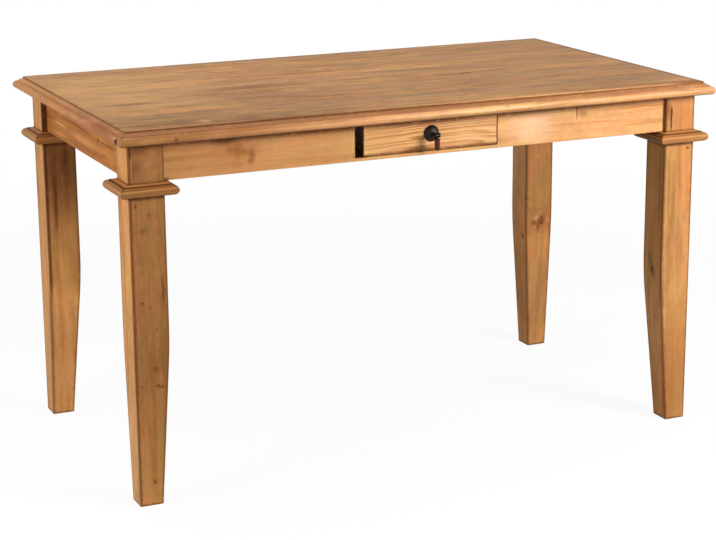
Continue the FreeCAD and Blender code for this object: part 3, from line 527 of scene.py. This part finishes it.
RUST_GRAIN = 700.0
screw_steel, steel_shader, steel_place = new_finish("screw_steel")
steel_shader.inputs["Metallic"].default_value = 1.0
rust = steel_place.cloud((RUST_GRAIN, RUST_GRAIN, RUST_GRAIN), 60.0, 3.0)
steel_colour = rust.mixed(stain(150, 146, 140), stain(92, 66, 50), rust.rise(0.45, 0.7))
steel_colour.feeds(steel_shader, "Base Color")
(0.35 + rust * 0.35).feeds(steel_shader, "Roughness")
for piece in ("batten_screws", "block_screws"):
    dress(piece, screw_steel)

# The top: five pine boards glued edge to edge, scrubbed duller and greyer than the frame.
# They lie on the aprons, and the battens hold them flat from below.

MERGE = 1e-6
FLAT = radians(0.5)


def loose_copy(piece):
    """A bmesh of one piece of the frame, its triangles joined into flat faces."""
    shape = bmesh.new()
    shape.from_mesh(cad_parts[piece].data)
    bmesh.ops.remove_doubles(shape, verts=shape.verts, dist=MERGE)
    bmesh.ops.dissolve_limit(shape, angle_limit=FLAT, verts=shape.verts, edges=shape.edges)
    return shape


def eased(shape, size, chosen):
    """Wears round each arris whose two ends are both chosen."""
    arrises = [edge for edge in shape.edges if all(chosen(end.co) for end in edge.verts)]
    bmesh.ops.bevel(shape, geom=arrises, offset=size, offset_type="OFFSET", affect="EDGES", segments=3,
                    profile=0.5, material=-1)


def cut_across(shape, axis, stops):
    """Cuts a shape across at each stop along an axis, so that its wear can change along it."""
    across = Vector([float(way == axis) for way in range(3)])
    for stop in stops:
        whole = shape.verts[:] + shape.edges[:] + shape.faces[:]
        bmesh.ops.bisect_plane(shape, geom=whole, dist=MERGE, plane_co=across * stop, plane_no=across)


def set_out(name, data):
    """A new object in the scene, at the origin."""
    thing = bpy.data.objects.new(name, data)
    bpy.context.scene.collection.objects.link(thing)
    return thing


def worn_piece(piece, shape, fold):
    """Puts a worn shape in the place of a piece of the frame, in that piece's finish."""
    mesh = bpy.data.meshes.new(piece + "_worn")
    shape.to_mesh(mesh)
    shape.free()
    mesh.materials.append(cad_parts[piece].data.materials[0])
    mesh.attributes.remove(mesh.attributes["custom_normal"])
    mesh.shade_smooth()
    mesh.set_sharp_from_angle(angle=radians(fold))
    worn = set_out(piece + "_worn", mesh)
    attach(worn, "table")
    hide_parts(piece)


TOP_PALE = stain(183, 134, 85)
TOP_AMBER = stain(142, 94, 51)
TOP_LIGHT = stain(212, 162, 106)
FIELD_X, FIELD_Y, TOP_HIGH = 0.6745, 0.3835, 0.800
STEP_HIGH = 0.7965
STEP_LINES = [((-0.25, -FIELD_Y, STEP_HIGH), (1.2, 0.0050, 0.0050), WAX, 0.9),
              ((0.0, FIELD_Y, TOP_HIGH), (1.6, 0.0100, 0.012), WAX, 0.45),
              ((-FIELD_X, 0.0, STEP_HIGH), (0.0036, 0.9, 0.0048), WAX, 0.75),
              ((FIELD_X, 0.0, TOP_HIGH), (0.0160, 0.9, 0.012), WAX, 0.7),
              # painted highlight along the worn front arris of the boards
              ((0.300, -FIELD_Y, TOP_HIGH), (0.44, 0.0044, 0.0022), stain(214, 152, 92), 0.8)]
TOP_KNOTS = {3: [((0.2525, -0.0403, TOP_HIGH), (0.012, 0.006, THROUGH))]}
TOP_SMUDGES_AND_HIGHLIGHT = {
    1: [((-0.494, -0.345, TOP_HIGH), (0.020, 0.035, THROUGH), TOP_LIGHT, 0.7),
        # painted highlight along the worn front arris
        ((0.300, -0.376, TOP_HIGH), (0.360, 0.005, THROUGH), TOP_LIGHT, 0.9),
        ((0.640, -0.378, TOP_HIGH), (0.070, 0.026, THROUGH), stain(122, 66, 30), 0.9)],
    2: [((-0.192, -0.078, TOP_HIGH), (0.040, 0.012, THROUGH), TOP_LIGHT, 0.9),
        ((-0.570, -0.090, TOP_HIGH), (0.080, 0.030, THROUGH), TOP_AMBER, 0.9),
        ((-0.300, -0.130, TOP_HIGH), (0.160, 0.020, THROUGH), TOP_AMBER, 0.7)],
    3: [((0.003, 0.022, TOP_HIGH), (0.040, 0.012, THROUGH), TOP_LIGHT, 0.9),
        ((-0.240, 0.042, TOP_HIGH), (0.200, 0.007, THROUGH), TOP_LIGHT, 0.9),
        ((-0.250, 0.000, TOP_HIGH), (0.180, 0.030, THROUGH), TOP_AMBER, 0.9),
        ((0.330, -0.030, TOP_HIGH), (0.070, 0.010, THROUGH), TOP_AMBER, 0.9)],
    4: [((-0.050, 0.130, TOP_HIGH), (0.200, 0.020, THROUGH), TOP_AMBER, 0.7)],
}
# painted light at the left end of the top, and painted shade at the right end
END_PAINTED_LIGHT_AND_SHADE = [((-0.60, 0.10, TOP_HIGH), (0.36, 0.45, 0.05), TOP_LIGHT, 0.7),
            ((0.60, 0.0, TOP_HIGH), (0.50, 0.70, 0.05), stain(142, 102, 64), 0.3)]
BOARD_HEARTS = ((0.2, -0.33, 0.73), (-0.3, -0.12, 0.70), (0.1, 0.03, 0.72), (-0.1, 0.17, 0.69),
                (0.3, 0.27, 0.72))
BOARD_SHADES = (0.96, 0.97, 0.97, 1.10, 1.12)
BOARD_FOLD = 18.0
TOP_WEAR = 0.0018
for number, (heart, shade) in enumerate(zip(BOARD_HEARTS, BOARD_SHADES), 1):
    piece = f"top_plank_{number}"
    pale, amber = [shaded(colour, shade) for colour in (TOP_PALE, TOP_AMBER)]
    pine(piece, "x", heart, pale, amber, seed=400.0 + 17 * number, figure=0.12, ring=0.008, sway=0.02,
         mottle=1.05, streaks=0.6, run=4.6, narrow=60.0, flecks=0.35, glints=0.45, polish=0.55, sheen=0.10,
         edge=0, knots=TOP_KNOTS.get(number, ()), smudges_and_painted_light=END_PAINTED_LIGHT_AND_SHADE + TOP_SMUDGES_AND_HIGHLIGHT.get(number, []),
         lines=STEP_LINES)
    board = loose_copy(piece)
    eased(board, TOP_WEAR, lambda end: end.z > TOP_HIGH - MERGE
          and (abs(end.x) > FIELD_X - MERGE or abs(end.y) > FIELD_Y - MERGE))
    worn_piece(piece, board, BOARD_FOLD)

# The edge mouldings: four lengths of pine, mitred round the boards a step lower than their top.
# The nose is a full round under a small step and quirk, which hold dark wax.

EDGE_PALE = stain(204, 151, 95)
EDGE_AMBER = stain(158, 98, 47)
EDGE_DARK = stain(136, 82, 38)
EDGE_QUIRK_HIGH, EDGE_LOW = 0.7897, 0.7705
SLOPE_OUT, SLOPE_HIGH, EDGE_QUIRK_OUT, EDGE_FOOT_OUT = 0.005, 0.7934, 0.0107, 0.0120
EDGE_HEART_X, EDGE_HEART_Y, EDGE_HEART_HIGH = 0.66, 0.36, 0.72
EDGE_MITRE = (0.0, 0.0, FIELD_X - FIELD_Y, 0.8)
NOSE_FRONT, NOSE_LEFT = -0.4035, -0.6945
EDGE_SMUDGES_AND_HIGHLIGHT = {
    "front": [((-0.60, -0.395, 0.782), (0.45, 0.05, 0.05), stain(142, 87, 30), 0.9),
              ((-0.577, NOSE_FRONT, 0.778), (0.006, THROUGH, 0.010), WAX, 0.6),
              ((-0.562, NOSE_FRONT, 0.789), (0.004, THROUGH, 0.005), WAX, 0.5),
              ((0.60, -0.395, 0.782), (0.30, 0.05, 0.05), EDGE_AMBER, 0.25),
              # painted highlight along the upper middle of the front nose
              ((0.05, -0.402, 0.783), (0.35, THROUGH, 0.008), stain(232, 178, 120), 0.7)],
    "left": [((-0.69, 0.0, 0.782), (0.05, 0.60, 0.05), stain(162, 98, 43), 0.78),
             ((-0.69, -0.34, 0.782), (0.05, 0.45, 0.05), stain(134, 78, 34), 0.85)],
}
# the chip at the near corner is painted near-black as shade in its hollow, with a painted highlight on the
# nose beside it
EDGE_CHIP_AND_HIGHLIGHT = [((-0.6930, -0.3790, 0.7780), (0.020, 0.0140, 0.0115), SHADE_BLACK, 0.97),
             ((NOSE_LEFT, -0.366, 0.7850), (0.020, 0.0050, 0.0026), stain(236, 186, 140), 0.5)]
EDGE_MARKS = [(0.0, STEP_HIGH, 0.0034, 0.006, WAX, 0.9),
              (SLOPE_OUT, SLOPE_HIGH, 0.0100, 0.008, EDGE_DARK, 0.75),
              (EDGE_QUIRK_OUT, EDGE_QUIRK_HIGH, 0.0020, 0.003, REDDISH, 0.6),
              # painted shade along the underside of the nose
              (EDGE_FOOT_OUT, EDGE_LOW, 0.0120, 0.007, WAX, 0.75)]
LEFT_MARKS = [(0.0, STEP_HIGH, 0.0026, 0.005, WAX, 0.9),
              (EDGE_QUIRK_OUT, EDGE_QUIRK_HIGH, 0.0020, 0.003, REDDISH, 0.3),
              # painted shade along the underside of the nose
              (EDGE_FOOT_OUT, EDGE_LOW, 0.0120, 0.007, WAX, 0.3)]
DENTS = {"front": [((-0.577, NOSE_FRONT, 0.778), 0.008, 0.0018),
                   ((-0.562, NOSE_FRONT, 0.787), 0.006, 0.0012)],
         "left": [((NOSE_LEFT, -0.379, 0.778), 0.013, 0.0036)], "back": [], "right": []}
EDGE_WEAR, QUIRK_TOP, NOSE_OUT = 0.0009, 0.7903, 0.0115
LENGTH_STEP, DENT_STEP, UNEVEN, MITRE_FADE = 0.012, 0.0015, 0.0008, 0.03
UNEVEN_SCALE, ON_ARRIS, EDGE_FOLD = 35.0, 1e-4, 30.0
FULL_LENGTH, FULL_WIDTH = 1.6, 1.0
for number, (side, (out_x, out_y)) in enumerate(SIDES.items()):
    marks = []
    for out, level, thin, tall, tint, amount in LEFT_MARKS if side == "left" else EDGE_MARKS:
        middle = (out_x * (FIELD_X + out), out_y * (FIELD_Y + out), level)
        radii = (FULL_LENGTH, thin, tall) if out_y else (thin, FULL_WIDTH, tall)
        marks.append((middle, radii, tint, amount))
    heart = (EDGE_HEART_X * out_x, EDGE_HEART_Y * out_y, EDGE_HEART_HIGH)
    piece = "edge_moulding_" + side
    pine(piece, "x" if out_y else "y", heart, EDGE_PALE, EDGE_AMBER, seed=520.0 + 19 * number,
         figure=0.45, streaks=0.7, narrow=105.0, mottle=0.7, polish=0.42,
         sheen=0.32 if side == "front" else 0.08, smudges_and_painted_light=EDGE_SMUDGES_AND_HIGHLIGHT.get(side, ()),
         lines=marks + (EDGE_CHIP_AND_HIGHLIGHT if side == "left" else []), mitre=EDGE_MITRE)

    across, along = (1, 0) if out_y else (0, 1)
    outward = out_x + out_y
    field, length = (FIELD_Y, FIELD_X) if out_y else (FIELD_X, FIELD_Y)
    edging = loose_copy(piece)
    eased(edging, EDGE_WEAR, lambda end: abs(end[across] * outward - field - EDGE_QUIRK_OUT) < ON_ARRIS
          and abs(end.z - QUIRK_TOP) < ON_ARRIS)
    cuts = int(length / LENGTH_STEP)
    stops = {round(turn * LENGTH_STEP, 4) for turn in range(-cuts, cuts + 1)}
    for centre, radius, depth in DENTS[side]:
        reach = int(radius / DENT_STEP)
        stops |= {round(centre[along] + turn * DENT_STEP, 4) for turn in range(-reach, reach + 1)}
    cut_across(edging, along, sorted(stops))
    for end in edging.verts:
        out = end.co[across] * outward - field
        if out > NOSE_OUT:
            from_mitre = length + out - abs(end.co[along])
            fade = min(1.0, max(0.0, from_mitre / MITRE_FADE))
            worn = UNEVEN * (0.5 + 0.5 * noise.noise(end.co * UNEVEN_SCALE)) * fade
            for centre, radius, depth in DENTS[side]:
                near = (end.co - Vector(centre)).length / radius
                worn += depth * max(0.0, 1.0 - near * near) ** 2
            end.co[across] -= outward * worn
    worn_piece(piece, edging, EDGE_FOLD)

# The drawer: a front of strongly figured pine on a plain box of thin boards.
# The sides are let into the front and the bottom slides in a groove.

DRAWER_MID = 0.0140
pine("drawer_front", "x", (0.10, -0.29, 0.675), stain(219, 168, 112), stain(160, 96, 44), seed=620.0,
     figure=0.75, ring=0.0058, sway=0.018, streaks=0.3, mottle=0.4,
     smudges_and_painted_light=[((-0.100, APRON_FACE, 0.735), (0.080, SOAK, 0.060), stain(176, 112, 58), 0.3),
              ((0.120, APRON_FACE, 0.730), (0.080, SOAK, 0.060), stain(236, 192, 142), 0.15)],
     # painted shade: the drawer front's end in the gap is painted near-black
     lines=[((-0.1453, -0.3340, 0.733), (0.0040, SOAK, 0.080), SHADE_BLACK, 0.98),
            # painted shade along the gap under the drawer front
            ((DRAWER_MID, APRON_FACE, 0.6947), (0.4, THROUGH, 0.0075), stain(112, 58, 16), 0.85),
            # painted shadow of the drop, at the bottom edge below the pull
            ((-0.018, APRON_FACE, 0.6965), (0.050, THROUGH, 0.0140), stain(104, 60, 24), 0.75),
            ((DRAWER_MID, APRON_FACE, APRON_TOP), (0.4, 0.004, 0.0235), SHADOW_BROWN, 0.97),
            # painted shade along the gap at the drawer front's right end
            ((0.1722, APRON_FACE, 0.7320), (0.0022, THROUGH, 0.080), WAX, 0.7)])
DRAWER_BOX = {"drawer_side_left": "y", "drawer_side_right": "y", "drawer_back": "x", "drawer_bottom": "x"}
# painted shade: the front of the drawer's left side, seen through the gap, is painted near-black
SIDE_PAINTED_SHADE = [((-0.1443, -0.315, 0.735), (0.012, 0.050, 0.12), stain(30, 16, 9), 0.92)]
for number, (piece, along) in enumerate(DRAWER_BOX.items(), 1):
    painted_gap_shade = SIDE_PAINTED_SHADE if piece == "drawer_side_left" else ()
    pine(piece, along, tuple(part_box(piece)[0]), RAW_PALE, RAW_AMBER, seed=620.0 + 11 * number,
         lines=painted_gap_shade, polish=0.6)

# The pull: a domed iron rosette, a stud through the drawer front with its nut, and a drop on a pin.
# The iron is blackened, with brown rubbed through where fingers take hold.

CAST_GRAIN, HANDLED_GRAIN, CAST_DEPTH = 420.0, 130.0, 0.0003
HELD_OUT, HELD_LOW = (-0.362, -0.372), (0.727, 0.720)
pull_iron, iron_shader, iron_place = new_finish("pull_iron")
iron_shader.inputs["Metallic"].default_value = 0.75
cast = iron_place.cloud((CAST_GRAIN, CAST_GRAIN, CAST_GRAIN), 700.0, 4.0)
handled = iron_place.cloud((HANDLED_GRAIN, HANDLED_GRAIN, HANDLED_GRAIN), 701.0, 3.0)
_, iron_y, iron_z = iron_place.split()
held = iron_y.rise(*HELD_OUT) * iron_z.rise(*HELD_LOW)
worn_brown = handled.rise(0.50, 0.72) * 0.3 + held * (handled.rise(0.30, 0.60) * 0.4 + 0.4)
cast.mixed(stain(36, 29, 22), stain(76, 38, 23), worn_brown).feeds(iron_shader, "Base Color")
(0.3 + cast * 0.3).feeds(iron_shader, "Roughness")
iron_bump = cast.node("Bump", {}, {"Height": cast * CAST_DEPTH, "Strength": 1.0, "Distance": 1.0})
iron_bump.feeds(iron_shader, "Normal")
for piece in ("pull_rosette", "pull_stud", "pull_nut", "pull_drop"):
    dress(piece, pull_iron)
pin_iron, pin_shader, pin_place = new_finish("pin_iron")
pin_shader.inputs["Specular IOR Level"].default_value = 0.2
scale = pin_place.cloud((CAST_GRAIN, CAST_GRAIN, CAST_GRAIN), 702.0)
scale.mixed(stain(24, 22, 21), stain(48, 32, 24), scale.rise(0.45, 0.7)).feeds(pin_shader, "Base Color")
(0.5 + scale * 0.3).feeds(pin_shader, "Roughness")
dress("pull_pin", pin_iron)

# The studio: a plain white floor under three soft lamps, the main one at the front right.
# Floor and air show white to the eye, and the floor keeps a faint shadow under the table.

WHITE = (1.0, 1.0, 1.0, 1.0)
FLOOR_REACH = 60.0
FLOOR_BOUNCE = 0.42
FLOOR_GLOW = 0.92
FLOOR_PALE = (0.9, 0.9, 0.9, 1.0)
SHADOW_NEAR, SHADOW_FAR = 1.3, 3.2


def to_the_eye(tree):
    """1 for what is seen straight, mirrored or through glass, and 0 for light on its way to the table."""
    ray = tree.nodes.new("ShaderNodeLightPath").outputs
    seen = Tone(tree, ray["Is Camera Ray"]).most(Tone(tree, ray["Is Glossy Ray"]))
    return seen.most(Tone(tree, ray["Is Transmission Ray"]))


floor_shape = bmesh.new()
bmesh.ops.create_grid(floor_shape, x_segments=1, y_segments=1, size=FLOOR_REACH)
floor_mesh = bpy.data.meshes.new("floor")
floor_shape.to_mesh(floor_mesh)
floor_shape.free()
floor = set_out("floor", floor_mesh)
floor_white = bpy.data.materials.new("floor_white")
floor_white.use_nodes = True
floor_tree = floor_white.node_tree
floor_tree.nodes.clear()
floor_place = Tone(floor_tree, floor_tree.nodes.new("ShaderNodeTexCoord").outputs["Object"])
far = floor_place.length().rise(SHADOW_NEAR, SHADOW_FAR)
bounce = floor_place.node("BsdfDiffuse", {}, {"Color": (FLOOR_BOUNCE, FLOOR_BOUNCE, FLOOR_BOUNCE, 1.0)})
shadow = floor_place.node("BsdfDiffuse", {}, {"Color": FLOOR_PALE})
glow = floor_place.node("Emission", {}, {"Color": WHITE, "Strength": 1.0})
glowing = FLOOR_GLOW + far * (1.0 - FLOOR_GLOW)
shown = floor_place.node("MixShader", {}, {"Fac": glowing, "Shader": shadow, "Shader_001": glow})
seen = to_the_eye(floor_tree)
surface = floor_place.node("MixShader", {}, {"Fac": seen, "Shader": bounce, "Shader_001": shown})
surface.feeds(floor_tree.nodes.new("ShaderNodeOutputMaterial"), "Surface")
floor_mesh.materials.append(floor_white)

AMBIENT = 0.38
studio = bpy.data.worlds.new("studio")
bpy.context.scene.world = studio
studio.use_nodes = True
studio_shader = studio.node_tree.nodes["Background"]
studio_shader.inputs["Color"].default_value = WHITE
(AMBIENT + to_the_eye(studio.node_tree) * (1.0 - AMBIENT)).feeds(studio_shader, "Strength")


def soft_lamp(name, place, aim, size, power):
    """A square lamp of a size in metres and a power in watts, turned to a point."""
    lamp = bpy.data.lights.new(name, "AREA")
    lamp.size = size
    lamp.energy = power
    turn = (Vector(aim) - Vector(place)).to_track_quat("-Z", "Y")
    set_out(name, lamp).matrix_world = Matrix.Translation(place) @ turn.to_matrix().to_4x4()


soft_lamp("lamp_front_right", (1.7, -2.4, 1.45), aim=(0.1, -0.3, 0.5), size=0.9, power=94.0)
soft_lamp("lamp_left", (-1.9, -0.4, 0.8), aim=(-0.6, -0.2, 0.4), size=1.0, power=16.0)
soft_lamp("lamp_above", (-0.5, 0.1, 3.2), aim=(-0.1, 0.0, 0.8), size=2.0, power=20.0)

# The camera: a long lens at standing height, to the left of the front, as the photograph was taken.
# It looks a little down, and its place and turn were fitted to the table's straight edges.

CAMERA_PLACE = (-1.8153, -4.0274, 1.5160)
LENS, SENSOR_WIDTH, SIGHT = 98.64, 36.0, 200.0
YAW = radians(-24.221)
PITCH = radians(14.781)
ROLL = radians(-0.454)
ahead = Vector((sin(-YAW) * cos(PITCH), cos(YAW) * cos(PITCH), -sin(PITCH)))
right = ahead.cross(Vector((0, 0, 1))).normalized()
up = right.cross(ahead)
camera_data = bpy.data.cameras.new("camera")
camera_data.sensor_fit = "HORIZONTAL"
camera_data.sensor_width = SENSOR_WIDTH
camera_data.lens = LENS
camera_data.clip_end = SIGHT
camera = set_out("camera", camera_data)
level_right = right * cos(ROLL) + up * sin(ROLL)
level_up = up * cos(ROLL) - right * sin(ROLL)
axes = Matrix((level_right, level_up, -ahead)).transposed().to_4x4()
camera.matrix_world = Matrix.Translation(CAMERA_PLACE) @ axes
bpy.context.scene.camera = camera
bpy.context.scene.view_settings.view_transform = "Standard"
